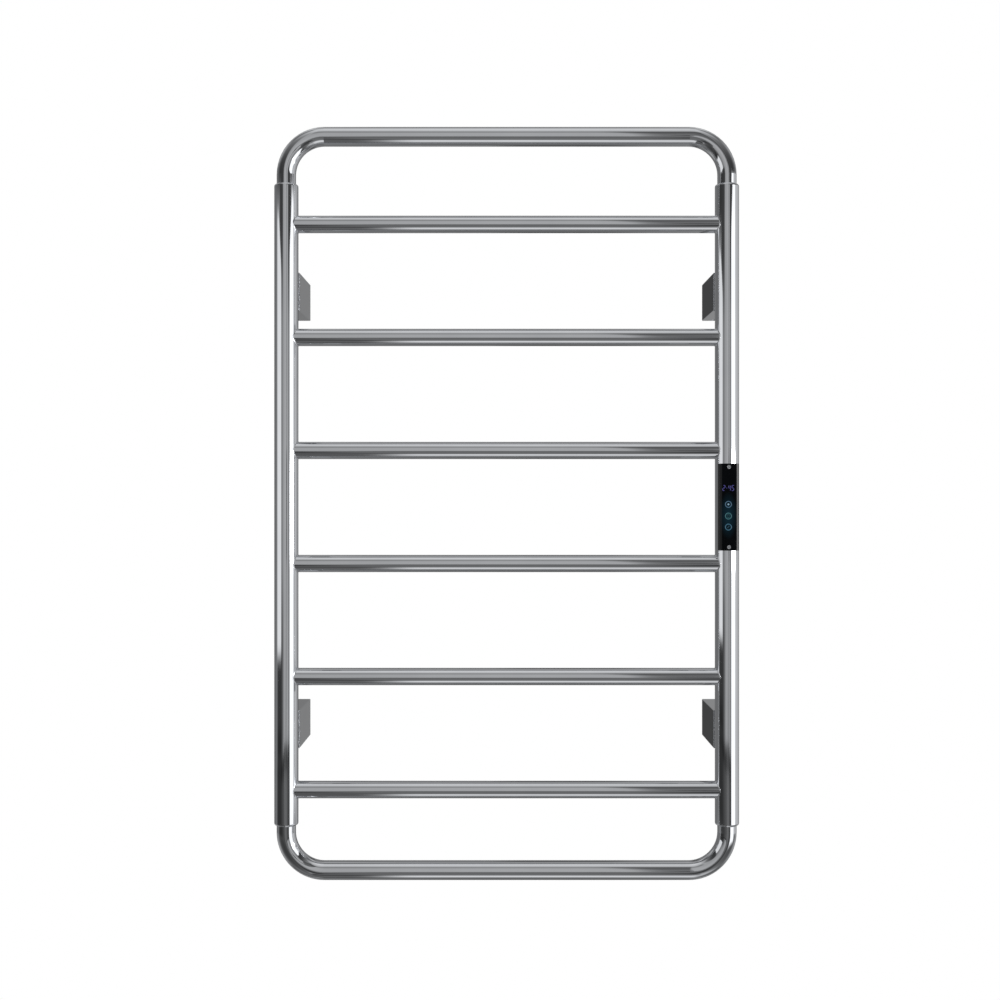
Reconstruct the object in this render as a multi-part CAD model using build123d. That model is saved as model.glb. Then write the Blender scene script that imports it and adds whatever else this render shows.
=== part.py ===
from build123d import *
import os
from math import pi, sqrt

# Wall-hung electric towel rail, in millimetres.
# X runs right, Y runs into the wall and Z runs up. The wall is the plane Y = 0,
# and the origin is the middle of the four wall plates.
# "Front" below is a distance from an upright's axis towards the room.

# Rack layout
upright_spacing = 460.0     # between the axes of the uprights
bracket_spacing = 460.0     # between the middles of the upper and lower brackets
wall_to_axis = 90.0         # from the wall to the plane of the tube axes
bar_count = 6
bar_pitch = 118.0
ladder_rise = 3.7           # middle of the bars above the middle of the brackets
top_bow_rise = 91.5         # top bow's axis above the top bar's axis
bottom_bow_drop = 84.1      # bottom bow's axis below the bottom bar's axis
upright_over_top = 41.5     # top end of an upright's collar above the top bar's axis
upright_under_bottom = 36.7

# Tubes
upright_dia = 25.0
upright_wall = 1.0
bow_dia = 20.0
bow_wall = 1.0
bow_bend = 40.0             # radius of the tube's axis in the corners
bar_dia = 18.0
bar_wall = 1.0
bar_insert = 2.0            # how far a bar's end reaches past the upright's wall
tube_fit = 0.05             # radial room in the welded tube joints

# Collars at the ends of the uprights
collar_head = 3.2
collar_round = 2.4
collar_spigot = 12.0

# Bracket arms
arm_width = 25.0
arm_height = 40.0
arm_wall = 2.5
arm_front_wall = 8.0
arm_saddle = 2.5            # how deep the upright lies in the arm's end
arm_wall_gap = 0.5          # between the arm's open end and the wall
arm_edge = 0.8

# Wall plates
plate_depth = 14.0
plate_play = 0.3            # between a plate and the inside of its arm
plate_edge = 0.6
wall_screw_spacing = 22.0   # between the two holes of a plate
wall_screw_hole = 5.2
wall_screw_recess = 10.0
wall_screw_floor = 5.0      # thickness under a screw's head

# Grub screws
grub_dia = 5.0
grub_length = 5.0
grub_from_wall = 7.0
grub_channel = 2.5          # depth of the plate's channel under the grub screw's tip
grub_play = 0.3             # between the grub screw's side and the channel
grub_tip_gap = 0.05
grub_key = 2.5              # across the flats of its socket
grub_key_depth = 2.2
thread_fit = 0.1            # radial room of a plain shank in a tapped hole

# Arm bolts
bolt_dia = 6.0
bolt_head_dia = 10.0
bolt_head = 4.0
bolt_key = 4.0
bolt_key_depth = 2.4
bolt_hole = 6.4
boss_dia = 11.0
boss_length = 7.0
washer_dia = 12.0
washer = 0.8
earth_tail = 14.0
earth_tail_width = 5.0

# Touch panel cover
cover_width = 21.5
cover_length = 90.0
cover_proud = 0.7           # front face ahead of the upright's crown
cover_round = 3.4
cover_wall = 1.6
cover_end = 2.7             # thickness of the cover's two screwed ends
cover_end_gap = 0.1
seal = 0.4
seal_inset = 0.6
seal_fit = 0.02
panel_screw_from_end = 3.5  # a screw's axis to the cover's end
panel_screw_dia = 2.5
panel_screw_head = 4.0
panel_screw_sink = 0.9
panel_screw_slot = 0.6
panel_screw_slot_depth = 0.4
panel_screw_hole = 2.8
clamp_width = 14.0
clamp_length = 6.4
clamp_thickness = 2.0
clamp_gap = 0.1

# Control tray and what it holds
tray_width = 14.0
tray_end_gap = 0.8          # between the tray and a clamp plate
tray_wall = 1.0
tray_play = 0.2
board_play = 0.2
board_thickness = 1.2
board_setback = 3.4         # from the cover's inner face to the board's front
part_gap = 0.05             # between the board and the parts that sit on it
display_width = 11.0
display_height = 8.4
display_depth = 3.0
display_rise = 19.7         # above the panel's middle
icon_rises = (2.8, -9.3, -20.7)
icon_outer_dia = 7.0
icon_ring_width = 0.9
icon_depth = 3.2
relay_size = (10.0, 9.0, 20.0)
supply_size = (10.4, 10.0, 18.0)
terminal_size = (10.0, 7.0, 12.0)
cutout_size = (8.0, 4.0, 9.0)
sensor_dia = 4.0
sensor_length = 5.6
sensor_gap = 0.15

# Cables
heater_dia = 4.0
heater_front = 4.0          # plane of the heating cable, ahead of the tube axes
heater_bend = 14.0
heater_tail_offset = 5.0    # the two ends' runs, to the right of the right upright's axis
lead_dia = 5.0
lead_back = 5.0             # supply lead behind the upright's axis
lead_bend = 8.0
lead_hole = 9.0
grommet_fit = 0.1
grommet_flange = 10.4
grommet_lip = 1.0
wall_entry_hole = 8.0
block_size = (16.0, 20.0, 12.0)
block_setback = 20.0        # from the arm's front wall to the terminal block

# Places worked out from the sizes above
axis_y = -wall_to_axis
upright_r = upright_dia / 2
bore_r = upright_r - upright_wall
bow_r = bow_dia / 2
bar_r = bar_dia / 2
side_x = {"left": -upright_spacing / 2, "right": upright_spacing / 2}
level_z = {"upper": bracket_spacing / 2, "lower": -bracket_spacing / 2}
bar_zs = [ladder_rise + bar_pitch * ((bar_count - 1) / 2 - i) for i in range(bar_count)]
top_bow_z = bar_zs[0] + top_bow_rise
bottom_bow_z = bar_zs[-1] - bottom_bow_drop
upright_top = bar_zs[0] + upright_over_top - collar_head
upright_bottom = bar_zs[-1] - upright_under_bottom + collar_head
bar_half = upright_spacing / 2 - sqrt(bore_r**2 - bar_r**2) + bar_insert

arm_front_y = axis_y + upright_r - arm_saddle
arm_pocket_y = arm_front_y + arm_front_wall
pocket_width = arm_width - 2 * arm_wall
pocket_height = arm_height - 2 * arm_wall
plate_width = pocket_width - 2 * plate_play
plate_height = pocket_height - 2 * plate_play
grub_tip = -plate_height / 2 + grub_channel - grub_tip_gap

panel_x = side_x["right"]
panel_z = (bar_zs[bar_count // 2 - 1] + bar_zs[bar_count // 2]) / 2
cover_front = upright_r + cover_proud
cover_inside = cover_front - cover_wall
notch_front = cover_front - cover_end - tube_fit
panel_screw_spacing = cover_length - 2 * panel_screw_from_end
tray_length = panel_screw_spacing - clamp_length - 2 * tray_end_gap
clamp_front = sqrt(bore_r**2 - (clamp_width / 2) ** 2) - clamp_gap
tray_front = cover_inside - tube_fit
tray_back = -sqrt(bore_r**2 - (tray_width / 2) ** 2) + 2 * tray_play
board_front = cover_inside - board_setback
board_back = board_front - board_thickness
# The parts behind the board lie in a row, from the top, with equal gaps
board_parts = {"thermal_cutout": cutout_size, "power_supply": supply_size}
board_parts |= {"power_relay": relay_size, "board_terminals": terminal_size}
row_length = sum(size[2] for size in board_parts.values())
row_gap = (tray_length - 2 * tray_wall - row_length) / (len(board_parts) + 1)
sensor_rise = -tray_length / 2 + tray_wall + row_gap + terminal_size[2] / 2
# The supply lead passes midway between the arm bolt's washer and the pocket's ceiling
lead_z = level_z["lower"] + (washer_dia + pocket_height) / 4


def rod(axis, a, b, start, end, radius):
    """A round rod along one axis; a and b are its other two coordinates, in XYZ order."""
    mid, length = (start + end) / 2, abs(end - start)
    if axis == "X":
        return Pos(mid, a, b) * Rot(0, 90, 0) * Cylinder(radius, length)
    if axis == "Y":
        return Pos(a, mid, b) * Rot(90, 0, 0) * Cylinder(radius, length)
    return Pos(a, b, mid) * Cylinder(radius, length)


def block(x, y, z):
    """A box from three (low, high) pairs."""
    middle = Pos((x[0] + x[1]) / 2, (y[0] + y[1]) / 2, (z[0] + z[1]) / 2)
    return middle * Box(abs(x[1] - x[0]), abs(y[1] - y[0]), abs(z[1] - z[0]))


def around(middle, size):
    """The (low, high) pair of a given size about a middle."""
    return (middle - size / 2, middle + size / 2)


def front(*distances):
    """Y coordinates of distances ahead of the upright's axis, lowest first."""
    return tuple(sorted(axis_y - d for d in distances))


def hexagon(across, start, end):
    """A hexagonal key socket along Z."""
    profile = RegularPolygon(across / sqrt(3), 6)
    return Pos(0, 0, start) * extrude(profile, end - start)


def swept(section, path):
    """A section carried along a path, starting square to it."""
    return sweep(Plane(origin=path @ 0, z_dir=path % 0) * section, path=path)


def save(name, *pieces):
    """Write one node; several pieces stay separate solids."""
    shape = pieces[0] if len(pieces) == 1 else Compound(children=list(pieces))
    export_step(shape, os.path.join("parts", name + ".step"))


# Uprights: a plain tube with a hole for each bar and for each arm's boss
def upright(side):
    x = side_x[side]
    inward = -1 if x > 0 else 1
    tube = rod("Z", x, axis_y, upright_bottom, upright_top, upright_r)
    tube -= rod("Z", x, axis_y, upright_bottom, upright_top, bore_r)
    for z in bar_zs:
        tube -= rod("X", axis_y, z, x, x + inward * upright_dia, bar_r + tube_fit)
    for z in level_z.values():
        tube -= rod("Y", x, z, axis_y, axis_y + upright_dia, boss_dia / 2 + tube_fit)
    return tube


# The right upright also has the panel's notch and window, and the supply lead's hole
def right_upright():
    tube = upright("right")
    notch_length = cover_length + 2 * cover_end_gap
    window_width = tray_width + 4 * tray_play
    window_length = tray_length + 4 * tray_play
    ahead = front(upright_dia, notch_front)
    tube -= block(around(panel_x, upright_dia), ahead, around(panel_z, notch_length))
    ahead = front(upright_dia, 0)
    tube -= block(around(panel_x, window_width), ahead, around(panel_z, window_length))
    tube -= rod("Y", panel_x, lead_z, axis_y, axis_y + upright_dia, lead_hole / 2)
    return tube


# Bows: one tube bent into a U, whose legs reach to the ends of the collars' spigots
def bow(leg_z, cross_z):
    half = upright_spacing / 2
    corners = [(-half, leg_z), (-half, cross_z), (half, cross_z), (half, leg_z)]
    path = FilletPolyline(*[(x, axis_y, z) for x, z in corners], radius=bow_bend)
    return swept(Circle(bow_r) - Circle(bow_r - bow_wall), path)


def crossbar(z):
    tube = rod("X", axis_y, z, -bar_half, bar_half, bar_r)
    return tube - rod("X", axis_y, z, -bar_half, bar_half, bar_r - bar_wall)


# Collars: a rounded head on the tube's end, and a spigot inside the tube
def collar(x, end_z, outward):
    head = Cylinder(upright_r, collar_head, align=(Align.CENTER, Align.CENTER, Align.MIN))
    head = fillet(head.edges().sort_by(Axis.Z)[-1], collar_round)
    spigot_r = bore_r - tube_fit
    spigot = rod("Z", 0, 0, -collar_spigot, 0, spigot_r)
    whole = head + spigot - rod("Z", 0, 0, -collar_spigot, collar_head, bow_r + tube_fit)
    turn = Rot(0, 0, 0) if outward > 0 else Rot(180, 0, 0)
    return Pos(x, axis_y, end_z) * turn * whole


# Bracket arms: a block with a saddle for the upright and a pocket for the wall plate
def arm(x, z, has_lead):
    length = (arm_front_y, -arm_wall_gap)
    body = block(around(x, arm_width), length, around(z, arm_height))
    body = fillet(body.edges().filter_by(Axis.Y), arm_edge)
    pocket = (arm_pocket_y, 0)
    body -= block(around(x, pocket_width), pocket, around(z, pocket_height))
    body -= rod("Z", x, axis_y, z - arm_height, z + arm_height, upright_r + tube_fit)
    body -= rod("Y", x, z, axis_y, arm_pocket_y, bolt_hole / 2)
    grub_r = grub_dia / 2 + thread_fit
    body -= rod("Z", x, -grub_from_wall, z - arm_height, z, grub_r)
    if has_lead:
        body -= rod("Y", x, lead_z, axis_y, arm_pocket_y, lead_hole / 2)
    return body


# Weld bosses: a tapped plug in the upright's back, ground flush with the tube
def boss(x, z):
    start, end = axis_y + upright_r - boss_length, axis_y + upright_dia
    plug = rod("Y", x, z, start, end, boss_dia / 2) - rod("Y", x, z, start, end, bolt_dia / 2 + thread_fit)
    return plug & rod("Z", x, axis_y, z - boss_dia, z + boss_dia, upright_r)


def arm_bolt(x, z):
    seat = arm_pocket_y + washer
    tip = axis_y + upright_r - boss_length
    shank = rod("Z", 0, 0, 0, seat - tip, bolt_dia / 2)
    head = rod("Z", 0, 0, seat - tip, seat - tip + bolt_head, bolt_head_dia / 2)
    top = seat - tip + bolt_head
    whole = shank + head - hexagon(bolt_key, top - bolt_key_depth, top)
    return Pos(x, tip, z) * Rot(-90, 0, 0) * whole


def arm_washer(x, z):
    ring = rod("Y", x, z, arm_pocket_y, arm_pocket_y + washer, washer_dia / 2)
    return ring - rod("Y", x, z, arm_pocket_y, arm_pocket_y + washer, bolt_hole / 2)


# The earth tag takes the place of one washer, with a tail for the earth wire
def earth_tag(x, z):
    thickness = (arm_pocket_y, arm_pocket_y + washer)
    tail = block(around(x, earth_tail_width), thickness, (z - earth_tail, z))
    return arm_washer(x, z) + (tail - rod("Y", x, z, *thickness, bolt_hole / 2))


# Wall plates: a block in the arm's end with two recessed screw holes
# and an open channel underneath, along which the grub screw's tip can leave
def wall_plate(x, z, has_entry):
    body = block(around(x, plate_width), (-plate_depth, 0), around(z, plate_height))
    body = fillet(body.edges().filter_by(Axis.Y), plate_edge)
    for hole_z in around(z, wall_screw_spacing):
        body -= rod("Y", x, hole_z, -plate_depth, 0, wall_screw_hole / 2)
        body -= rod("Y", x, hole_z, -plate_depth, -wall_screw_floor, wall_screw_recess / 2)
    channel_end = -grub_from_wall + grub_dia / 2 + grub_play
    bottom = z - plate_height / 2
    channel_width = grub_dia + 2 * grub_play
    channel_height = (bottom, bottom + grub_channel)
    body -= block(around(x, channel_width), (-plate_depth, channel_end), channel_height)
    if has_entry:
        body -= rod("Y", x, z, -plate_depth, 0, wall_entry_hole / 2)
    return body


def grub_screw(x, z):
    tip = z + grub_tip
    screw = rod("Z", 0, 0, -grub_length, 0, grub_dia / 2)
    screw -= hexagon(grub_key, -grub_length, -grub_length + grub_key_depth)
    return Pos(x, -grub_from_wall, tip) * screw


# Touch panel cover: flat front, rounded long edges, skirts that follow the tube,
# and two solid ends that drop into the notch milled in the tube's crown
def panel_cover():
    profile = Rectangle(cover_width, cover_front, align=(Align.CENTER, Align.MIN))
    profile = fillet(profile.vertices().sort_by(Axis.Y)[-2:], cover_round)
    bed = Circle(upright_r + seal)
    above_seat = Pos(0, notch_front + tube_fit) * Rectangle(
        2 * upright_dia, upright_dia, align=(Align.CENTER, Align.MIN)
    )
    profile -= bed - above_seat
    # The profile's Y axis points to the room, which is -Y of the rack
    slab = Pos(panel_x, axis_y, panel_z) * Rot(0, 0, 180) * extrude(profile, cover_length / 2, both=True)
    pocket_x = around(panel_x, tray_width + 2 * tray_play)
    pocket_z = around(panel_z, tray_length + 2 * tray_play)
    slab -= block(pocket_x, front(0, cover_inside), pocket_z)
    for z in around(panel_z, panel_screw_spacing):
        slab -= rod("Y", panel_x, z, axis_y - cover_front, axis_y, panel_screw_hole / 2)
        slab -= screw_head(z, (panel_screw_hole - panel_screw_dia) / 2)
    return slab


# Countersunk head, as a cone that opens towards the room; extra makes the hole's cone
def screw_head(z, extra):
    cone = Cone(panel_screw_dia / 2 + extra, panel_screw_head / 2 + extra, panel_screw_sink)
    middle = axis_y - cover_front + panel_screw_sink / 2
    return Pos(panel_x, middle, z) * Rot(90, 0, 0) * cone


def panel_screw(z):
    tip = clamp_front - clamp_thickness
    under_head = cover_front - panel_screw_sink
    screw = rod("Y", panel_x, z, *front(tip, under_head), panel_screw_dia / 2) + screw_head(z, 0)
    slot_y = front(cover_front - panel_screw_slot_depth, cover_front)
    return screw - block(around(panel_x, panel_screw_head), slot_y, around(z, panel_screw_slot))


# Side seals: two strips between the cover's skirts and the tube
def panel_seal(side):
    outer = upright_r + seal - seal_fit
    ring = Circle(outer) - Circle(upright_r + seal_fit)
    inner_x = sqrt(outer**2 - notch_front**2) + seal_inset
    outer_x = cover_width / 2 - seal_inset
    strip = Pos((inner_x + outer_x) / 2 * side, upright_r / 2) * Rectangle(outer_x - inner_x, upright_dia)
    length = cover_length / 2 - seal_inset
    shape = extrude(ring & strip, length, both=True)
    return Pos(panel_x, axis_y, panel_z) * Rot(0, 0, 180) * shape


# Clamp plates lie under the tube's wall at the cover's ends and take its screws
def clamp_plate(z):
    thickness = front(clamp_front - clamp_thickness, clamp_front)
    plate = block(around(panel_x, clamp_width), thickness, around(z, clamp_length))
    return plate - rod("Y", panel_x, z, *thickness, panel_screw_dia / 2 + thread_fit)


# Control tray: an open box behind the cover, with a hole for the sensor
def control_tray():
    width, length = around(panel_x, tray_width), around(panel_z, tray_length)
    shell = block(width, front(tray_back, tray_front), length)
    inner_x = around(panel_x, tray_width - 2 * tray_wall)
    inner_z = around(panel_z, tray_length - 2 * tray_wall)
    shell -= block(inner_x, front(tray_back + tray_wall, tray_front), inner_z)
    hole_r = sensor_dia / 2 + tray_play / 2
    hole_y = front(tray_back, tray_back + tray_wall)
    return shell - rod("Y", panel_x, panel_z + sensor_rise, *hole_y, hole_r)


def control_board():
    width = tray_width - 2 * (tray_wall + board_play)
    length = tray_length - 2 * (tray_wall + board_play)
    thickness = front(board_back, board_front)
    return block(around(panel_x, width), thickness, around(panel_z, length))


# A part on the board's back, from its (width, depth, length) and its upper end
def behind_board(size, top_z):
    depth = front(board_back - part_gap - size[1], board_back - part_gap)
    return block(around(panel_x, size[0]), depth, (top_z - size[2], top_z))


def display_module():
    depth = front(board_front + part_gap, board_front + part_gap + display_depth)
    return block(around(panel_x, display_width), depth, around(panel_z + display_rise, display_height))


def light_pipe(rise):
    depth = front(board_front + part_gap, board_front + part_gap + icon_depth)
    outer = rod("Y", panel_x, panel_z + rise, *depth, icon_outer_dia / 2)
    return outer - rod("Y", panel_x, panel_z + rise, *depth, icon_outer_dia / 2 - icon_ring_width)


def temperature_sensor():
    tip = -bore_r + sensor_gap
    return rod("Y", panel_x, panel_z + sensor_rise, *front(tip, tip + sensor_length), sensor_dia / 2)


# Heating cable: from the tray's lower end, to and fro through the bars, to its upper end
def heating_cable():
    half = upright_spacing / 2
    tail_x = half + heater_tail_offset
    tray_ends = around(panel_z, tray_length + 2 * part_gap)
    route = [(tail_x, tray_ends[0]), (tail_x, bar_zs[-1])]
    side = -1
    for below, above in zip(bar_zs[::-1], bar_zs[-2::-1]):
        route += [(side * half, below), (side * half, above)]
        side = -side
    route += [(tail_x, bar_zs[0]), (tail_x, tray_ends[1])]
    y = axis_y - heater_front
    path = FilletPolyline(*[(x, y, z) for x, z in route], radius=heater_bend)
    cable = swept(Circle(heater_dia / 2), path)
    expected = pi * heater_dia**2 / 4 * path.length
    print("heating cable", round(path.length), "mm, volume ratio", round(cable.volume / expected, 5))
    return cable


# Supply lead: down the right upright, then back through its wall to the terminal block
def supply_lead():
    y = axis_y + lead_back
    start = panel_z - tray_length / 2 - part_gap
    end_y = arm_pocket_y + block_setback - part_gap
    route = [(panel_x, y, start), (panel_x, y, lead_z), (panel_x, end_y, lead_z)]
    path = FilletPolyline(*route, radius=lead_bend)
    lead = swept(Circle(lead_dia / 2), path)
    expected = pi * lead_dia**2 / 4 * path.length
    print("supply lead", round(path.length), "mm, volume ratio", round(lead.volume / expected, 5))
    return lead


def terminal_block():
    x, z = panel_x, level_z["lower"]
    ceiling = z + pocket_height / 2 - part_gap
    start = arm_pocket_y + block_setback
    height = (ceiling - block_size[2], ceiling)
    return block(around(x, block_size[0]), (start, start + block_size[1]), height)


# Grommets: a rubber sleeve with one lip, round the lead or in the wall plate
def lead_grommet():
    start, lip = axis_y + upright_r, arm_pocket_y + grommet_lip
    sleeve = rod("Y", panel_x, lead_z, start, arm_pocket_y, lead_hole / 2 - grommet_fit)
    sleeve += rod("Y", panel_x, lead_z, arm_pocket_y, lip, grommet_flange / 2)
    sleeve -= rod("Y", panel_x, lead_z, start, lip, lead_dia / 2 + grommet_fit)
    return sleeve


def wall_grommet():
    x, z = panel_x, level_z["lower"]
    sleeve = rod("Y", x, z, -plate_depth, 0, wall_entry_hole / 2 - grommet_fit)
    return sleeve - rod("Y", x, z, -plate_depth, 0, lead_dia / 2 + grommet_fit)


os.makedirs("parts", exist_ok=True)

save("left_upright", upright("left"))
save("right_upright", right_upright())
save("top_bow", bow(upright_top - collar_spigot, top_bow_z))
save("bottom_bow", bow(upright_bottom + collar_spigot, bottom_bow_z))
for number, bar_z in enumerate(bar_zs, 1):
    save(f"crossbar_{number}", crossbar(bar_z))

brackets = []
for level, level_height in level_z.items():
    end_height, outward = (upright_top, 1) if level == "upper" else (upright_bottom, -1)
    for side, side_place in side_x.items():
        corner = f"{level}_{side}"
        is_entry = corner == "lower_right"
        brackets.append((side_place, level_height))
        save(f"{corner}_collar", collar(side_place, end_height, outward))
        save(f"{corner}_arm", arm(side_place, level_height, is_entry))
        save(f"{corner}_wall_plate", wall_plate(side_place, level_height, is_entry))
        save(f"{corner}_grub_screw", grub_screw(side_place, level_height))

save("weld_bosses", *[boss(*place) for place in brackets])
save("arm_bolts", *[arm_bolt(*place) for place in brackets])
save("arm_washers", *[arm_washer(*place) for place in brackets[:-1]])
save("earth_tag", earth_tag(*brackets[-1]))

panel_ends = around(panel_z, panel_screw_spacing)
save("panel_cover", panel_cover())
save("panel_screws", *[panel_screw(z) for z in panel_ends])
save("panel_seals", panel_seal(-1), panel_seal(1))
save("clamp_plates", *[clamp_plate(z) for z in panel_ends])
save("control_tray", control_tray())
save("control_board", control_board())
save("display_module", display_module())
save("icon_light_pipes", *[light_pipe(rise) for rise in icon_rises])
row_top = panel_z + tray_length / 2 - tray_wall
for name, size in board_parts.items():
    row_top -= row_gap
    save(name, behind_board(size, row_top))
    row_top -= size[2]
save("temperature_sensor", temperature_sensor())
save("heating_cable", heating_cable())
save("supply_lead", supply_lead())
save("supply_terminal_block", terminal_block())
save("lead_grommet", lead_grommet())
save("wall_grommet", wall_grommet())
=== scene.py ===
import bpy
import numpy as np
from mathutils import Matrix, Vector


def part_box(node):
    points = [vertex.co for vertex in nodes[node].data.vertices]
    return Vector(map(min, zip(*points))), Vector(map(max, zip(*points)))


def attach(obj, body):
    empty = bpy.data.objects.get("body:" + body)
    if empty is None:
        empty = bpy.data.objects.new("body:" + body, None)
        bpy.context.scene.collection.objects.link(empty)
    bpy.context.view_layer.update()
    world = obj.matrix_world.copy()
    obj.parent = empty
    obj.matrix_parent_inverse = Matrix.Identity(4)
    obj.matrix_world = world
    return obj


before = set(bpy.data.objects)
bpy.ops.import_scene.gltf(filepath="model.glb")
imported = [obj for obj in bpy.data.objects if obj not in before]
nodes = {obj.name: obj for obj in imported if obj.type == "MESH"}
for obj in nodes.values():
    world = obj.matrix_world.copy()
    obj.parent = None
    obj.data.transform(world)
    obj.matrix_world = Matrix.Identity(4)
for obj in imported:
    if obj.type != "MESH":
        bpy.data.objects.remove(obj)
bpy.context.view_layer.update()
scene = bpy.context.scene
scene.view_settings.view_transform = "Standard"
mm = 0.001
print("frame loaded:", len(nodes), "nodes")


# camera, straight on and level, 1.4 m in front of the plane of the tube axes
cameraSetup = {"place": (-0.00694, -1.490, 0.0110), "lens": 48.27, "sensor": 36.0}
cameraData = bpy.data.cameras.new("photoCamera")
cameraData.lens = cameraSetup["lens"]
cameraData.sensor_width = cameraSetup["sensor"]
camera = bpy.data.objects.new("photoCamera", cameraData)
camera.location = cameraSetup["place"]
camera.rotation_euler = (np.pi / 2, 0, 0)
scene.collection.objects.link(camera)
scene.camera = camera
print("camera set")


# colours, nodes and meshes

def toLinear(value):    # the sRGB curve undone, for values from 0 to 1
    value = np.asarray(value, float)
    return np.where(value <= 0.04045, value / 12.92, ((value + 0.055) / 1.055) ** 2.4)


def colour(code):    # "#rrggbb" to linear red, green, blue, alpha
    return (*toLinear([int(code[i:i + 2], 16) / 255 for i in (1, 3, 5)]).tolist(), 1.0)


def addNode(tree, kind, values=None, links=None, **settings):
    node = tree.nodes.new(kind)
    for name, value in settings.items():
        setattr(node, name, value)
    for socket, value in (values or {}).items():
        node.inputs[socket].default_value = value
    for socket, source in (links or {}).items():
        tree.links.new(source, node.inputs[socket])
    return node


def wire(tree, node, **sources):    # the node's sockets from other nodes' outputs
    for socket, source in sources.items():
        tree.links.new(source, node.inputs[socket.replace("_", " ")])


def newMaterial(name, **shaderValues):    # a shader joined to its output, with its constant sockets set
    material = bpy.data.materials.new(name)
    material.use_nodes = True
    tree = material.node_tree
    tree.nodes.clear()
    constants = {socket.replace("_", " "): value for socket, value in shaderValues.items()}
    shader = addNode(tree, "ShaderNodeBsdfPrincipled", constants)
    addNode(tree, "ShaderNodeOutputMaterial", links={"Surface": shader.outputs["BSDF"]})
    return material, tree, shader


def fullTurn(count):    # angles of a whole turn, without the last one, which is the first again
    return np.linspace(0, 2 * np.pi, count + 1)[:-1]


def gridFaces(rows, columns, closedRows=False, closedColumns=False):    # quads over a rows by columns grid
    quadRows, quadColumns = rows - (not closedRows), columns - (not closedColumns)
    i, j = np.meshgrid(np.arange(quadRows), np.arange(quadColumns), indexing="ij")
    nextI, nextJ = (i + 1) % rows, (j + 1) % columns
    corners = [i * columns + j, nextI * columns + j, nextI * columns + nextJ, i * columns + nextJ]
    return np.stack(corners, -1).reshape(-1, 4)


def newPiece(name, grids, faces, material):    # grids of the same layout, joined into one mesh
    count = grids[0].reshape(-1, 3).shape[0]
    points = np.concatenate([g.reshape(-1, 3) for g in grids])
    quads = np.concatenate([faces + k * count for k in range(len(grids))])
    mesh = bpy.data.meshes.new(name)
    mesh.from_pydata(points.tolist(), [], quads.tolist())
    mesh.polygons.foreach_set("use_smooth", np.ones(len(mesh.polygons), bool))
    mesh.materials.append(material)
    mesh.update()
    piece = bpy.data.objects.new(name, mesh)
    scene.collection.objects.link(piece)
    return piece


def setAtPoints(piece, name, values):    # one number for each point of the mesh, for a material to read
    layer = piece.data.attributes.new(name, "FLOAT", "POINT")
    layer.data.foreach_set("value", values.reshape(-1).astype(np.float32))


# metals; the scale of a pattern is 1000 over its size in mm

def polishedSteel(name, axis, milledEnd=None):
    # stainless tube or box section, drawn and then buffed: a mirror with faint drawing lines along its length
    # and cloudy patches where the buffing wheel dwelt; in mm, because real lines of 0.05 mm would not show
    finish = {"steel": "#e1e3e6", "steelLow": "#d7d9dd", "wear": (0.1, 0.45), "roughness": (0.022, 0.06),
              "lineSpacing": 0.7, "lineLength": 90.0, "cloud": 38.0, "relief": 0.2, "reliefShare": 0.005,
              "satin": 0.55, "satinReach": (0.4, 0.8)}
    material, tree, shader = newMaterial(name, Metallic=1.0)
    place = addNode(tree, "ShaderNodeTexCoord").outputs["Object"]
    stretch = [1000 / finish["lineLength" if a == axis else "lineSpacing"] for a in "XYZ"]
    drawn = addNode(tree, "ShaderNodeMapping", {"Scale": stretch}, {"Vector": place})
    lines = addNode(tree, "ShaderNodeTexNoise", {"Scale": 1.0, "Detail": 2.0}, {"Vector": drawn.outputs[0]})
    clouds = addNode(tree, "ShaderNodeTexNoise", {"Scale": 1000 / finish["cloud"], "Detail": 3.0},
                     {"Vector": place})
    wear = addNode(tree, "ShaderNodeMath", links={0: lines.outputs["Fac"], 1: clouds.outputs["Fac"]},
                   operation="MULTIPLY")
    (least, most), (low, high) = finish["wear"], finish["roughness"]
    rough = addNode(tree, "ShaderNodeMapRange",
                    {"From Min": least, "From Max": most, "To Min": low, "To Max": high},
                    {"Value": wear.outputs[0]})
    tint = addNode(tree, "ShaderNodeMix", {"A": colour(finish["steelLow"]), "B": colour(finish["steel"])},
                   {"Factor": clouds.outputs["Fac"]}, data_type="RGBA")
    bump = addNode(tree, "ShaderNodeBump",
                   {"Strength": finish["reliefShare"], "Distance": finish["relief"] * mm},
                   {"Height": lines.outputs["Fac"]})
    if milledEnd:    # the end that was milled to the tube's round stays satin
        split = addNode(tree, "ShaderNodeSeparateXYZ", links={"Vector": place})
        full, none = [(milledEnd + reach) * mm for reach in finish["satinReach"]]
        satin = addNode(tree, "ShaderNodeMapRange",
                        {"From Min": full, "From Max": none, "To Min": finish["satin"], "To Max": 0.0},
                        {"Value": split.outputs["Y"]})
        rough = addNode(tree, "ShaderNodeMath", links={0: rough.outputs[0], 1: satin.outputs[0]},
                        operation="MAXIMUM")
    wire(tree, shader, Base_Color=tint.outputs["Result"], Roughness=rough.outputs[0], Normal=bump.outputs[0])
    return material


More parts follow.
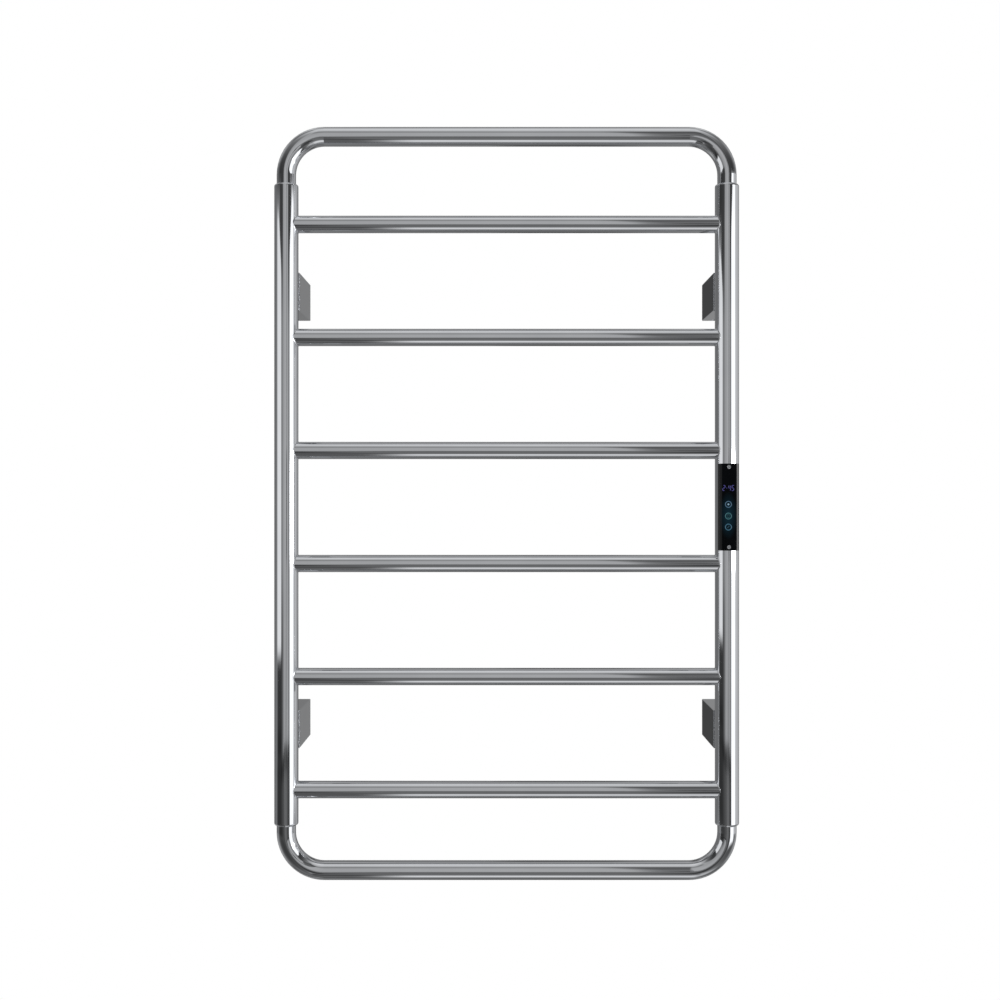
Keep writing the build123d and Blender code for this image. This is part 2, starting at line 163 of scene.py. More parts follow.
def grainedFinish(name, low, high, rough, grain, relief, **shaderValues):
    # two close colours in patches of a dozen grains, and a roughness range and relief that follow the grain;
    # grain and relief are in mm
    skin = {"patch": 12, "specks": (0.3, 0.7), "reliefShare": 0.25}
    material, tree, shader = newMaterial(name, **shaderValues)
    place = addNode(tree, "ShaderNodeTexCoord").outputs["Object"]
    specks = addNode(tree, "ShaderNodeTexNoise", {"Scale": 1000 / grain, "Detail": 3.0}, {"Vector": place})
    patches = addNode(tree, "ShaderNodeTexNoise", {"Scale": 1000 / (skin["patch"] * grain), "Detail": 2.0},
                      {"Vector": place})
    tint = addNode(tree, "ShaderNodeMix", {"A": colour(low), "B": colour(high)},
                   {"Factor": patches.outputs["Fac"]}, data_type="RGBA")
    (least, most), (smooth, dull) = skin["specks"], rough
    gloss = addNode(tree, "ShaderNodeMapRange",
                    {"From Min": least, "From Max": most, "To Min": smooth, "To Max": dull},
                    {"Value": specks.outputs["Fac"]})
    bump = addNode(tree, "ShaderNodeBump", {"Strength": skin["reliefShare"], "Distance": relief * mm},
                   {"Height": specks.outputs["Fac"]})
    wire(tree, shader, Base_Color=tint.outputs["Result"], Roughness=gloss.outputs[0], Normal=bump.outputs[0])
    return material


uprightSteel = polishedSteel("stainlessTubeBuffedUpright", "Z")
barSteel = polishedSteel("stainlessTubeBuffedBar", "X")
bracketSteel = polishedSteel("stainlessBoxBuffedBracket", "Y", milledEnd=-80.0)    # mm
# zinc diecast, tumbled: even satin grey with a fine cast skin
diecastZinc = grainedFinish("zincDiecastTumbled", "#bfc1c4", "#cfd1d3", (0.34, 0.5), 0.6, 0.05,
                            Metallic=1.0)
# steel, turned and zinc plated: bluish bright metal with a soft mottle of crystals
platedSteel = grainedFinish("steelTurnedZincPlated", "#b3b6bb", "#c6c9cd", (0.2, 0.34), 0.8, 0.01,
                            Metallic=1.0)
# brass, stamped and tinned: warm white metal, a little dull
tinnedBrass = grainedFinish("brassStampedTinned", "#bdb7a4", "#cfcabb", (0.28, 0.42), 0.7, 0.01,
                            Metallic=1.0)
print("metals done")


# plastics, rubber and the board

# EPDM rubber, moulded: matt black with a dusty bloom
rubber = grainedFinish("epdmRubberMoulded", "#151618", "#212225", (0.55, 0.75), 0.5, 0.04)
# ABS, moulded in a spark-eroded tool: charcoal with a fine even texture
trayPlastic = grainedFinish("absMouldedCharcoal", "#25272a", "#303236", (0.4, 0.55), 0.35, 0.04)
# polyamide, moulded: ivory, slightly waxy
terminalPlastic = grainedFinish("polyamideMouldedIvory", "#cfccbe", "#dedbcf", (0.38, 0.5), 0.9, 0.02)
# silicone, extruded over the heater wire: brick red and satin
silicone = grainedFinish("siliconeExtrudedRed", "#7c2a20", "#93382b", (0.45, 0.6), 0.8, 0.03)
# acrylic, moulded clear for the lit icons: pale blue where the lamp behind it shines in
lightPipe = grainedFinish("acrylicMouldedClear", "#9cc6dc", "#b4d8ea", (0.08, 0.16), 1.5, 0.01, IOR=1.49,
                          Transmission_Weight=0.6)
# polycarbonate, moulded smoke grey over the display: violet where the digits' lamps shine in
displayPlastic = grainedFinish("polycarbonateMouldedSmoke", "#14111f", "#1d1830", (0.12, 0.22), 1.2, 0.01,
                               Emission_Color=colour("#3a3470"), Emission_Strength=0.4)


def solderMask():    # glass-fibre laminate under green lacquer: the weave shows through as a fine check
    weave = {"low": "#0d4426", "high": "#14603a", "thread": 0.55, "band": 314, "bend": 0.4, "relief": 0.03,
             "reliefShare": 0.15}    # mm; a wave texture's band is 314 mm wide at scale 1
    material, tree, shader = newMaterial("fibreglassBoardLacquered", Roughness=0.32)
    place = addNode(tree, "ShaderNodeTexCoord").outputs["Object"]
    threads = {"Scale": weave["band"] / weave["thread"], "Distortion": weave["bend"]}
    warp, weft = [addNode(tree, "ShaderNodeTexWave", threads, {"Vector": place}, bands_direction=axis)
                  for axis in "XZ"]
    check = addNode(tree, "ShaderNodeMath", links={0: warp.outputs["Fac"], 1: weft.outputs["Fac"]},
                    operation="MULTIPLY")
    tint = addNode(tree, "ShaderNodeMix", {"A": colour(weave["low"]), "B": colour(weave["high"])},
                   {"Factor": check.outputs[0]}, data_type="RGBA")
    bump = addNode(tree, "ShaderNodeBump",
                   {"Strength": weave["reliefShare"], "Distance": weave["relief"] * mm},
                   {"Height": check.outputs[0]})
    wire(tree, shader, Base_Color=tint.outputs["Result"], Normal=bump.outputs[0])
    return material


def panelAcrylic():
    # black acrylic, moulded, polished and given an anti-glare coat: a weak mirror with a wiped haze, and a
    # dim glow around the lit icons
    panel = {"low": "#060708", "high": "#0a0b0d", "haze": 9.0, "hazeRange": (0.3, 0.7),
             "roughness": (0.015, 0.04), "relief": 0.05, "reliefShare": 0.04, "glow": "#0b2530",
             "glowMiddle": (229.3, -103.2, -5.0), "glowReach": (9.5, 5.0, 25.0)}    # mm
    material, tree, shader = newMaterial("acrylicMouldedBlack", IOR=1.49, Specular_IOR_Level=0.3,
                                         Emission_Strength=1.0)
    place = addNode(tree, "ShaderNodeTexCoord").outputs["Object"]
    haze = addNode(tree, "ShaderNodeTexNoise", {"Scale": 1000 / panel["haze"], "Detail": 4.0},
                   {"Vector": place})
    tint = addNode(tree, "ShaderNodeMix", {"A": colour(panel["low"]), "B": colour(panel["high"])},
                   {"Factor": haze.outputs["Fac"]}, data_type="RGBA")
    (least, most), (low, high) = panel["hazeRange"], panel["roughness"]
    gloss = addNode(tree, "ShaderNodeMapRange",
                    {"From Min": least, "From Max": most, "To Min": low, "To Max": high},
                    {"Value": haze.outputs["Fac"]})
    bump = addNode(tree, "ShaderNodeBump",
                   {"Strength": panel["reliefShare"], "Distance": panel["relief"] * mm},
                   {"Height": haze.outputs["Fac"]})
    reach = [1000 / r for r in panel["glowReach"]]
    centre = [-m * mm * r for m, r in zip(panel["glowMiddle"], reach)]
    centred = addNode(tree, "ShaderNodeMapping", {"Scale": reach, "Location": centre}, {"Vector": place})
    fall = addNode(tree, "ShaderNodeTexGradient", links={"Vector": centred.outputs[0]},
                   gradient_type="SPHERICAL")
    glow = addNode(tree, "ShaderNodeMix", {"A": (0, 0, 0, 1), "B": colour(panel["glow"])},
                   {"Factor": fall.outputs["Fac"]}, data_type="RGBA")
    wire(tree, shader, Base_Color=tint.outputs["Result"], Roughness=gloss.outputs[0], Normal=bump.outputs[0],
         Emission_Color=glow.outputs["Result"])
    return material


def litInk(name, shown):    # lamp light through printed ink: a plain glow, dimmer in spots 1.5 mm apart
    ink = {"unlit": "#050507", "spots": 1.5, "dim": 0.82}
    material, tree, shader = newMaterial(name, Base_Color=colour(ink["unlit"]), Roughness=0.2,
                                         Emission_Strength=1.0)
    place = addNode(tree, "ShaderNodeTexCoord").outputs["Object"]
    uneven = addNode(tree, "ShaderNodeTexNoise", {"Scale": 1000 / ink["spots"], "Detail": 1.0},
                     {"Vector": place})
    dimmed = [ink["dim"] * c for c in colour(shown)[:3]] + [1.0]
    light = addNode(tree, "ShaderNodeMix", {"A": dimmed, "B": colour(shown)},
                    {"Factor": uneven.outputs["Fac"]}, data_type="RGBA")
    wire(tree, shader, Emission_Color=light.outputs["Result"])
    return material


blackPanel = panelAcrylic()
boardLaminate = solderMask()
print("plastics done")


# every CAD node takes the finish of its slot in the record, and tubes that lie have their lines along X
finishes = {"polished_bracket": bracketSteel, "die_cast_plate": diecastZinc, "plain_steel": platedSteel,
            "black_panel": blackPanel, "black_rubber": rubber, "tray_plastic": trayPlastic,
            "board_laminate": boardLaminate, "display_glow": displayPlastic, "light_pipe": lightPipe,
            "terminal_plastic": terminalPlastic, "tinned_brass": tinnedBrass, "silicone_cable": silicone,
            "polished_steel_tube": uprightSteel}
for name, node in nodes.items():
    lying = name.startswith("crossbar") or name.endswith("bow")
    for holder in node.material_slots:
        holder.material = barSteel if lying else finishes[holder.material.name]
print("nodes finished")


# weld fillets where the bars meet the uprights

tubes = {"axisX": 230.0, "axisY": -90.0, "uprightR": 12.5, "barR": 9.0}    # mm
barBoxes = [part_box(f"crossbar_{k}") for k in range(1, 7)]
barHeights = [float(low.z + high.z) / 2 / mm for low, high in barBoxes]
fillet = {"leg": 0.75, "bite": 0.25, "turns": 96, "steps": 8}    # mm and counts


def barFillet(side, height):
    # the meeting line is x = sqrt(R^2 - y^2) on the bar's circle y = r cos t, z = r sin t; the section is a
    # hollow curve from a leg along the bar to a leg along the upright, closed by a point inside the metal
    t, s = np.meshgrid(fullTurn(fillet["turns"]), np.linspace(0, 1, fillet["steps"]), indexing="ij")
    zero = np.zeros_like(t)
    y, z = tubes["barR"] * np.cos(t), tubes["barR"] * np.sin(t)
    x = np.sqrt(tubes["uprightR"] ** 2 - y ** 2)
    meeting = np.stack([side * (tubes["axisX"] - x), tubes["axisY"] + y, height + z], -1)
    alongBar = np.stack([zero - side, zero, zero], -1)
    outward = np.stack([zero, np.cos(t), np.sin(t)], -1)
    uprightNormal = np.stack([-side * x, y, zero], -1) / tubes["uprightR"]
    alongUpright = outward - (outward * uprightNormal).sum(-1, keepdims=True) * uprightNormal
    alongUpright = alongUpright / np.linalg.norm(alongUpright, axis=-1, keepdims=True)
    u = s[..., None]
    curve = meeting + fillet["leg"] * ((1 - u) ** 2 * alongBar + u ** 2 * alongUpright)
    inside = (meeting - fillet["bite"] * (alongBar + alongUpright))[:, :1]
    return np.concatenate([curve, inside], 1) * mm


sections = gridFaces(fillet["turns"], fillet["steps"] + 1, True, True)
for side, name in ((-1, "leftBarFillets"), (1, "rightBarFillets")):
    quads = sections[:, ::-1] if side < 0 else sections
    piece = newPiece(name, [barFillet(side, h) for h in barHeights], quads, uprightSteel)
    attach(piece, "rack")

# thin bead of silver solder where a bow leaves its collar
bead = {"ring": 10.1, "bead": 0.24, "ends": (340.2, -328.0), "turns": 72, "sides": 12}    # mm and counts


def solderBead(x, height):    # a torus: (ring + bead cos v) turned by u, raised by bead sin v
    u, v = np.meshgrid(fullTurn(bead["turns"]), fullTurn(bead["sides"]), indexing="ij")
    out = bead["ring"] + bead["bead"] * np.cos(v)
    up = bead["bead"] * np.sin(v)
    return np.stack([x + out * np.cos(u), tubes["axisY"] + out * np.sin(u), height + up], -1) * mm


beads = [solderBead(x, h) for x in (-tubes["axisX"], tubes["axisX"]) for h in bead["ends"]]
beadFaces = gridFaces(bead["turns"], bead["sides"], True, True)
piece = newPiece("collarBeads", beads, beadFaces, uprightSteel)
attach(piece, "rack")
print("joints done")


# lit digits and icons on the panel's front

face = {"y": -103.2 - 0.02, "ink": 0.1, "x": 229.3}    # mm
# mm; the slant, the taper and the tip are shares
digits = {"text": "2-45", "height": 23.4, "width": 2.0, "dash": 1.1, "tall": 5.4, "stroke": 0.5,
          "split": 0.16, "gap": 1.4, "slant": 0.12, "taper": 0.12, "tip": 0.4, "light": "#524e9a"}
segments = {"top": ((0, 1), (1, 1)), "middle": ((0, 0.5), (1, 0.5)), "bottom": ((0, 0), (1, 0)),
            "leftUp": ((0, 0.5), (0, 1)), "leftDown": ((0, 0), (0, 0.5)),
            "rightUp": ((1, 0.5), (1, 1)), "rightDown": ((1, 0), (1, 0.5))}
lit = {"2": ("top", "rightUp", "middle", "leftDown", "bottom"), "-": ("middle",),
       "4": ("leftUp", "rightUp", "middle", "rightDown"),
       "5": ("top", "leftUp", "middle", "rightDown", "bottom")}


def stroke(start, end):
    # a flat bar from start to end, short of both by the split: a point at u along it and v across it,
    # narrowed to the tip's share over the taper at its ends
    taper, split = digits["taper"], digits["split"]
    u, v = np.meshgrid([0.0, taper, 0.5, 1 - taper, 1.0], np.linspace(-0.5, 0.5, 3), indexing="ij")
    start, end = np.array(start, float), np.array(end, float)
    forward = (end - start) / np.linalg.norm(end - start)
    length = end - start - 2 * split * forward
    sideways = np.array([-forward[1], forward[0]])
    wide = digits["stroke"] * np.clip(np.minimum(u, 1 - u) / taper, digits["tip"], 1) * v
    return start + split * forward + u[..., None] * length + wide[..., None] * sideways


def onFace(flat, middle):    # flat points to the panel's front, right to +X and up to +Z
    depth = np.full(flat.shape[:2], face["y"])
    return np.stack([middle[0] + flat[..., 0], depth, middle[1] + flat[..., 1]], -1) * mm


def inkLayer(piece):    # ink has a little thickness, most of it in the panel's face
    layer = piece.modifiers.new("inkThickness", "SOLIDIFY")
    layer.thickness = face["ink"] * mm
    layer.offset = -1
    return piece


def annulus(inner, outer, turns):    # radius from inner to outer at each angle in turns
    turn, reach = np.meshgrid(turns, np.linspace(inner, outer, 4), indexing="ij")
    return np.stack([reach * np.cos(turn), reach * np.sin(turn)], -1)


def disc(radius):    # a square grid pressed round: u sqrt(1 - v^2/2), v sqrt(1 - u^2/2)
    u, v = np.meshgrid(np.linspace(-1, 1, 11), np.linspace(-1, 1, 11), indexing="ij")
    return radius * np.stack([u * np.sqrt(1 - v * v / 2), v * np.sqrt(1 - u * u / 2)], -1)


strokes, cursor = [], 0.0
for sign in digits["text"]:
    wide = digits["dash" if sign == "-" else "width"]
    for part in lit[sign]:
        ends = [(cursor + x * wide, (y - 0.5) * digits["tall"]) for x, y in segments[part]]
        strokes.append(stroke(*[(x + digits["slant"] * y, y) for x, y in ends]))
    cursor = cursor + wide + digits["gap"]
middle = (face["x"] - (cursor - digits["gap"]) / 2, digits["height"])
digitInk = litInk("displayLightViolet", digits["light"])
strokeFaces = gridFaces(*strokes[0].shape[:2])
piece = inkLayer(newPiece("displayDigits", [onFace(bar, middle) for bar in strokes], strokeFaces, digitInk))
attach(piece, "rack")

iconRing = {"inner": 2.7, "outer": 3.5, "turns": 48, "arcSteps": 25}    # mm and counts
# height in mm, light of the ring and of the mark in it; the mark is a dot of a radius in mm, or arcs with an
# inner and an outer radius in mm, their starts and their sweep in radians
icons = {"iconPower": {"height": 6.5, "ring": "#46667e", "mark": "#86a6ba", "dot": 0.95},
         "iconHeat": {"height": -5.6, "ring": "#3a6a70", "mark": "#2d5658",
                      "arcs": (1.3, 1.75, (0.5, 3.64), 2.14)},
         "iconTimer": {"height": -17.0, "ring": "#3a667c", "mark": "#567f92",
                       "arcs": (0.1, 1.15, (0.72, 3.86), 0.5)}}
circle = annulus(iconRing["inner"], iconRing["outer"], fullTurn(iconRing["turns"]))
ringFaces = gridFaces(*circle.shape[:2], closedRows=True)[:, ::-1]
for name, icon in icons.items():
    middle = (face["x"], icon["height"])
    ringInk = litInk(name + "RingLight", icon["ring"])
    ring = newPiece(name + "Ring", [onFace(circle, middle)], ringFaces, ringInk)
    if "dot" in icon:
        marks = [disc(icon["dot"])]
        markFaces = gridFaces(*marks[0].shape[:2])
    else:
        inner, outer, starts, sweep = icon["arcs"]
        turns = np.linspace(0, sweep, iconRing["arcSteps"])
        marks = [annulus(inner, outer, start + turns) for start in starts]
        markFaces = gridFaces(*marks[0].shape[:2])[:, ::-1]
    markInk = litInk(name + "MarkLight", icon["mark"])
    mark = newPiece(name + "Mark", [onFace(m, middle) for m in marks], markFaces, markInk)
    for piece in (inkLayer(ring), inkLayer(mark)):
        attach(piece, "rack")
print("panel lights done")


# stage: a grey studio that only the gloss sees, a white background and a pale floor

# m to what is far off, to the walls beside the camera, beside the rack and behind it, m from the rack to the
# camera and to the dome's middle, and the share of the light that the steel returns
studio = {"radius": 30.0, "frontWall": 3.4, "sideWall": 2.05, "backWall": 0.9, "camera": 1.4, "rack": 0.09,
          "steel": 0.75}
# the studio's greys, 0 to 255 as the steel shows them; azimuth 0 is towards the camera and grows to the right
wallTones = [(-180, 120), (-165, 118), (-150, 104), (-108, 105), (-92, 118), (-46, 121), (-33, 124),
             (-24, 148), (0, 166), (16, 161), (25, 126), (38, 124), (84, 165), (98, 192), (112, 168),
             (130, 150), (150, 128), (180, 120)]    # the walls at eye level, by azimuth
frontTones = [(-90, 98), (-84, 112), (-77, 180), (-68, 212), (-56, 206), (-47, 108), (-18, 98), (-11.4, 97),
              (-10.4, 144), (-7, 152), (0, 164), (33, 162), (38, 132), (46, 130), (52, 166), (62, 186),
              (78, 208), (90, 193)]    # from the floor over the camera to the ceiling, by elevation
backTones = [(-90, 98), (-61, 100), (-20, 100), (0, 112), (45, 114), (61, 126), (72, 142), (83, 184),
             (90, 193)]    # the same behind the rack
openTones = [(-90, 105), (-62, 140), (-36, 168), (-16, 150), (16, 160), (40, 176), (55, 204), (75, 212),
             (90, 193)]    # off to the sides, above and below eye level
openShades = [(-180, 0.62), (-160, 0.64), (-148, 0.76), (-122, 0.98), (-92, 1.06), (-66, 1.24), (-46, 0.84),
              (-30, 0.9), (0, 1.04), (20, 0.84), (36, 0.9), (50, 1.26), (78, 1.26), (100, 0.94), (128, 0.78),
              (148, 0.8), (160, 0.64), (180, 0.62)]    # times the open tones, by azimuth
# the side walls above and below the soft boxes, by elevation, and factors by azimuth near to and far from
# eye level; they start at a height of their own on the left, on the right and below
sideTones = [(-66, 110), (-54, 110), (-38, 100), (-27, 85), (-15, 75), (15, 55), (20, 62), (27, 88),
             (38, 112), (54, 128), (66, 150), (80, 170)]
lowShades = [(24, 1.2), (45, 1.0), (60, 0.95), (75, 0.92), (90, 1.35), (105, 1.7), (120, 2.0), (140, 2.0)]
highShades = [(30, 1.27), (45, 1.24), (60, 1.17), (75, 1.0), (90, 0.85), (105, 0.77), (120, 0.78),
              (140, 0.85)]
sideZone = {"across": (22, 36, 118, 138), "left": 12.2, "right": 14.6, "below": 14.2, "fade": 1.8,
            "lowToHigh": (22, 50), "top": (84, 72)}
# below, the left side is darker and the floor to the right brighter
floorLean = {"across": (90, 40), "left": (-12, -20), "right": (-30, -45), "share": 0.3}
# dark cards: azimuth edges, elevation edges, share of the light taken; each fades in from its outer edges
darkCards = {"overLeftBox": ((-64, -54, -31, -25), (7, 12, 15, 22), 0.52),
             "overRightBox": ((19, 25, 42, 60), (7, 12, 15, 22), 0.52),
             "lowWallLeft": ((-98, -76, -11, -6), (-40, -30, -11.2, -10.3), 0.47),
             "lowWallRight": ((6, 11, 55, 70), (-40, -30, -11.2, -10.3), 0.47),
             "underLeftBox": ((-94, -74, -52, -34), (-11.6, -10, -6.95, -5.75), 0.56),
             "farUnderLeftBox": ((-94, -74, -52, -34), (-40, -30, -10, -8.6), 0.25),
             "leftOfMiddle": ((-54, -40, -38, -12), (-12, -11.2, -6.5, -2), 0.35),
             "lowEdge": ((-30, -20, 24, 34), (-11.9, -11.5, -10.95, -10.4), 0.3),
             "upperRight": ((5.5, 7.5, 26, 32), (14, 17, 44, 49), 0.42),
             "rightStrip": ((5.8, 7.0, 9.6, 10.8), (-14, -9, 14, 17), 0.34),
             "facingThePanel": ((7.2, 8.6, 10.8, 12.4), (-2.9, -2.3, 1.75, 2.35), 0.9)}
# a dark card on the floor to the left; its inner edge runs straight back, so all bars show it at one place
floorCard = {"outer": (-75, -60), "inner": (-3.6, -6.4), "height": (-87, -80, -47, -40), "share": 0.55}
# a card behind the rack, dark to the right and grey to the left, which the inner sides of the brackets show
backCard = {"width": (13, 18), "height": (12, 15, 33, 38), "right": 60, "left": 118, "change": 2.5}
# soft boxes: their inner edge leans out towards the top, and the right one has a core that the panel's edge
# shows
leftBox = {"outer": (-95, -80), "inner": -49, "lean": (-30, 9.2, 13.2), "fade": 7,
           "height": (-6.75, -5.75, 11.6, 12.6), "tone": 219}
rightBox = {"outer": (85, 72), "inner": 38.5, "lean": (20, 11, 14.6), "fade": -4,
            "height": (-22, -17, 14.1, 15.3), "tone": 260,
            "core": ((40, 43, 77, 82), (-2.9, -2.3, 1.75, 2.35), 290)}
# degrees over which one part of the studio gives way to the next, and the limits of the walls' contrast
blend = {"contrast": (0.35, 1.7), "eyeLevel": (24, 12), "offMiddle": (5, 10), "ceiling": (48, 60),
         "floor": (-40, -50), "edges": (11, 20), "open": (15, 25), "openBehind": (100, 130),
         "openBehindTop": (60, 52), "openShade": (62, 48)}


def ramp(low, high, x):    # smooth step from 0 at low to 1 at high
    t = np.clip((x - low) / (high - low), 0, 1)
    return t * t * (3 - 2 * t)


def window(edges, x):    # 1 between the two inner edges, fading to 0 at the outer ones
    return ramp(edges[0], edges[1], x) * ramp(edges[3], edges[2], x)


def along(pairs, x):    # straight lines from pair to pair
    return np.interp(x, *np.array(pairs, float).T)


def mix(start, end, share):
    return start + share * (end - start)


def boxShape(box, azimuth, elevation):    # 1 on a soft box, fading to 0 around it
    out, low, high = box["lean"]
    inner = box["inner"] + out * ramp(low, high, elevation)
    across = ramp(*box["outer"], azimuth) * ramp(inner + box["fade"], inner, azimuth)
    return across * window(box["height"], elevation)


def studioTone(azimuth, elevation):
    wall = along(wallTones, azimuth)
    facing = 0.5 + 0.5 * np.cos(np.radians(azimuth))    # 1 towards the camera, 0 behind the rack
    height = mix(along(backTones, elevation), along(frontTones, elevation), facing)
    level = mix(along(backTones, 0), along(frontTones, 0), facing)
    tone = wall * np.clip(height / level, *blend["contrast"])
    aside, up = np.abs(azimuth), np.abs(elevation)
    # the walls keep their tone at eye level
    tone = mix(tone, wall, ramp(*blend["eyeLevel"], up) * ramp(*blend["offMiddle"], aside))
    tone = mix(tone, height, ramp(*blend["ceiling"], elevation) + ramp(*blend["floor"], elevation))
    # away from eye level and from the middle the studio is brighter, which the bends and the other views show
    sideways = np.degrees(np.arcsin(np.sin(np.radians(azimuth)) * np.cos(np.radians(elevation))))
    edges = ramp(*blend["edges"], np.abs(sideways))
    openBehind = ramp(*blend["openBehind"], aside) * ramp(*blend["openBehindTop"], up)
    opened = ramp(*blend["open"], up) * np.maximum(edges, openBehind)
    shade = mix(1, along(openShades, azimuth), ramp(*blend["openShade"], up))
    tone = mix(tone, shade * along(openTones, elevation), opened)
    for acrossEdges, upEdges, share in darkCards.values():
        tone = tone * (1 - share * window(acrossEdges, azimuth) * window(upEdges, elevation))
    onFloor = ramp(*floorCard["outer"], azimuth) * ramp(*floorCard["inner"], sideways)
    tone = tone * (1 - floorCard["share"] * onFloor * window(floorCard["height"], elevation))
    # the side walls above and below the soft boxes
    start = np.where(azimuth < 0, sideZone["left"], sideZone["right"])
    start = np.where(elevation < 0, sideZone["below"], start)
    beside = window(sideZone["across"], aside) * edges * ramp(0, sideZone["fade"], up - start)
    shade = mix(along(lowShades, aside), along(highShades, aside), ramp(*sideZone["lowToHigh"], up))
    lean = np.where(azimuth < 0, -ramp(*floorLean["left"], elevation), ramp(*floorLean["right"], elevation))
    shade = shade * (1 + floorLean["share"] * lean * ramp(*floorLean["across"], aside))
    tone = mix(tone, shade * along(sideTones, elevation), beside * ramp(*sideZone["top"], up))
    fromBack = azimuth % 360 - 180    # less than 0 to the right of straight behind
    inner, outer = backCard["width"]
    card = mix(backCard["right"], backCard["left"], ramp(-backCard["change"], backCard["change"], fromBack))
    tone = mix(tone, card, ramp(outer, inner, np.abs(fromBack)) * window(backCard["height"], up))
    tone = mix(tone, leftBox["tone"], boxShape(leftBox, azimuth, elevation))
    acrossEdges, upEdges, extra = rightBox["core"]
    bright = rightBox["tone"] + extra * window(acrossEdges, azimuth) * window(upEdges, elevation)
    return mix(tone, bright, boxShape(rightBox, azimuth, elevation))


# the grid is finer where the tubes mirror it towards the camera: degrees from, to and by
domeGrid = {"across": [(-180, -112, 2), (-112, 112, 0.75), (112, 181, 2)],
            "up": [(0, 28, 0.4), (28, 60, 1), (60, 91, 2)]}
# degrees over which what is far off gives way to the walls, and the front walls to the side walls
nearWalls = {"middle": (10, 18), "back": (128, 108), "top": (64, 50), "frontToSide": (24, 48),
             "behind": (115, 150), "behindTop": (78, 60)}
across, upwards = [np.concatenate([np.arange(*run) for run in runs]) for runs in domeGrid.values()]
upwards = np.concatenate([-upwards[:0:-1], upwards])
azimuth, elevation = np.meshgrid(across, upwards, indexing="ij")
aside, up = np.abs(azimuth), np.abs(elevation)
a, e = np.radians(azimuth), np.radians(elevation)
fromMiddle = np.degrees(np.arcsin(np.abs(np.sin(a) * np.cos(e))))
beside = ramp(*nearWalls["middle"], fromMiddle) * ramp(*nearWalls["back"], aside)
beside = beside * ramp(*nearWalls["top"], up)
behind = ramp(*nearWalls["behind"], aside) * ramp(*nearWalls["behindTop"], up)
wallAway = mix(studio["frontWall"], studio["sideWall"], ramp(*nearWalls["frontToSide"], aside))
near = mix(studio["radius"], wallAway, beside)
away = mix(near, studio["backWall"], behind)
# a sphere whose radius is how far away the studio stands in each direction
dome = np.stack([np.sin(a) * np.cos(e), -np.cos(a) * np.cos(e), np.sin(e)], -1) * away[..., None]
# a tube shows the camera a close wall as if it were far off in another direction: seen from the rack the
# azimuth grows, and tan(elevation) shrinks by R / (R + camera)
seenAcross = np.degrees(np.arctan2(np.sin(a) * near, np.cos(a) * near - studio["rack"]))
shrink = (1 + studio["camera"] / studio["radius"]) / (1 + studio["camera"] / near)
seenUp = np.degrees(np.arctan2(np.sin(e) * shrink, np.cos(e)))
cards, tree, shader = newMaterial("paintedStudioCards")    # matt cards and soft boxes around the rack
tree.nodes.remove(shader)
tone = addNode(tree, "ShaderNodeAttribute", attribute_name="tone")
glow = addNode(tree, "ShaderNodeEmission", {"Strength": 1.0}, {"Color": tone.outputs["Color"]})
output = next(n for n in tree.nodes if n.type == "OUTPUT_MATERIAL")
wire(tree, output, Surface=glow.outputs[0])
domePiece = newPiece("studioDome", [dome], gridFaces(*azimuth.shape), cards)
setAtPoints(domePiece, "tone", toLinear(studioTone(seenAcross, seenUp) / 255) / studio["steel"])
domePiece.visible_camera = False
domePiece.visible_diffuse = False
domePiece.visible_shadow = False

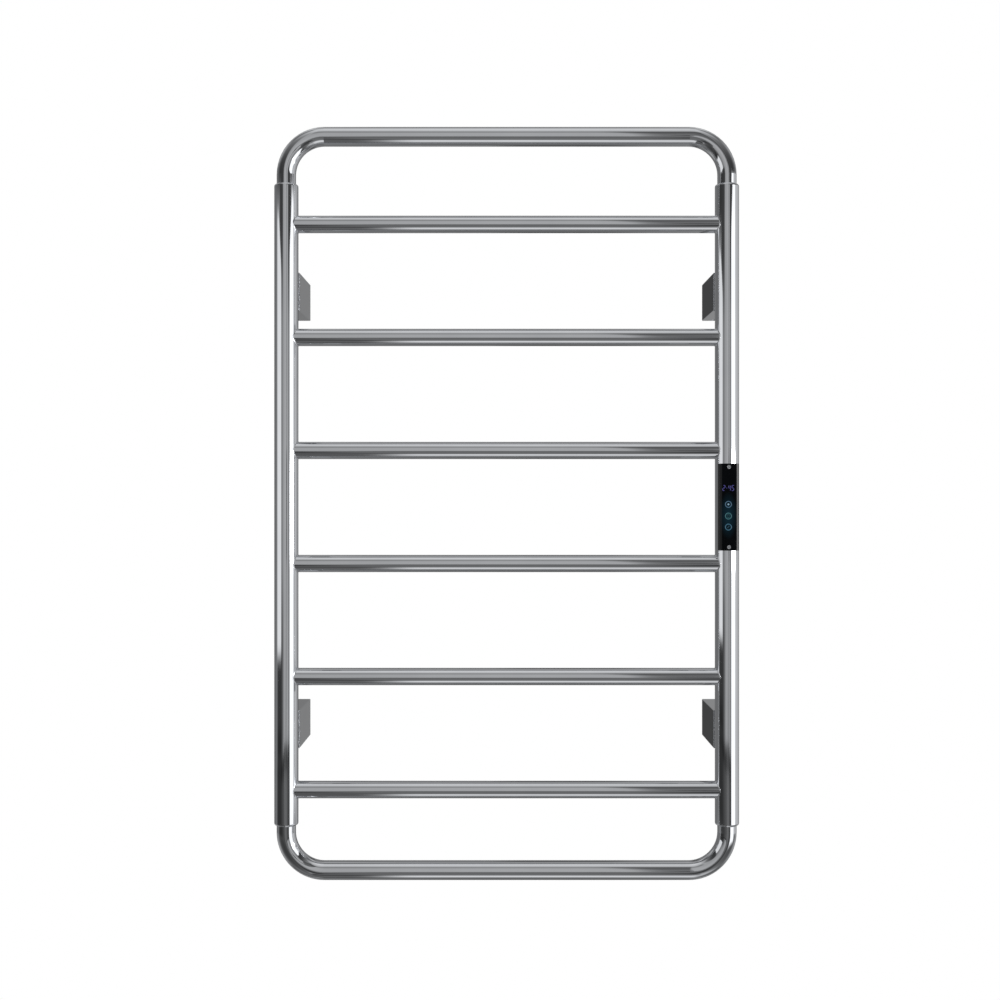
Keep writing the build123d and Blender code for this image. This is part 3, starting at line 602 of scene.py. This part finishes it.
# what the camera, the gloss and clear plastic see, and what lights the rest
backdrop = {"seen": ("#ffffff", 1.0), "cast": ("#f4f6fa", 0.62)}
world = bpy.data.worlds.new("whiteStudio")
world.use_nodes = True
scene.world = world
tree = world.node_tree
tree.nodes.clear()
ray = addNode(tree, "ShaderNodeLightPath").outputs
seen = addNode(tree, "ShaderNodeMath", links={0: ray["Is Camera Ray"], 1: ray["Is Glossy Ray"]},
               operation="MAXIMUM")
seen = addNode(tree, "ShaderNodeMath", links={0: seen.outputs[0], 1: ray["Is Transmission Ray"]},
               operation="MAXIMUM")
white, soft = [addNode(tree, "ShaderNodeBackground", {"Color": colour(code), "Strength": strength})
               for code, strength in backdrop.values()]
either = addNode(tree, "ShaderNodeMixShader",
                 links={0: seen.outputs[0], 1: soft.outputs[0], 2: white.outputs[0]})
addNode(tree, "ShaderNodeOutputWorld", links={"Surface": either.outputs[0]})

# a round sheet, clear towards its rim; in m, shares of the radius and counts; the rail hangs half a metre up
floor = {"height": -0.95, "y": -0.05, "radius": 1.05, "fade": (1.0, 0.45), "turns": 96, "rings": 24,
         "colour": "#f6f6f6"}
turn, reach = np.meshgrid(fullTurn(floor["turns"]), np.linspace(0.001, 1, floor["rings"]), indexing="ij")
spread = np.stack([np.cos(turn) * reach * floor["radius"],
                   np.sin(turn) * reach * floor["radius"] + floor["y"],
                   np.full(turn.shape, floor["height"])], -1)
paper, tree, shader = newMaterial("mattPaperFloor", Base_Color=colour(floor["colour"]), Roughness=0.9)
rim = addNode(tree, "ShaderNodeAttribute", attribute_name="rim")
wire(tree, shader, Alpha=rim.outputs["Fac"])
floorFaces = gridFaces(*turn.shape, closedRows=True)[:, ::-1]
floorPiece = newPiece("paperFloor", [spread], floorFaces, paper)
setAtPoints(floorPiece, "rim", ramp(*floor["fade"], reach))
floorPiece.visible_glossy = False

lamps = {"keyLamp": ((-1.1, -1.6, 1.5), 1.2, 26.0), "fillLamp": ((1.5, -1.2, 0.6), 1.0, 12.0),
         "backLamp": ((0.2, 1.6, 1.1), 1.2, 14.0)}    # place in m, width in m, watts
lampAim = np.array([0, -0.05, 0])    # m
for name, (place, width, watts) in lamps.items():
    lampData = bpy.data.lights.new(name, "AREA")
    lampData.size = width
    lampData.energy = watts
    lamp = bpy.data.objects.new(name, lampData)
    lamp.location = place
    towards = lampAim - np.array(place)
    tilt = np.arccos(-towards[2] / np.linalg.norm(towards))
    lamp.rotation_euler = (tilt, 0, np.arctan2(-towards[0], towards[1]))
    lamp.visible_glossy = False
    lamp.visible_camera = False
    scene.collection.objects.link(lamp)
print("stage set")
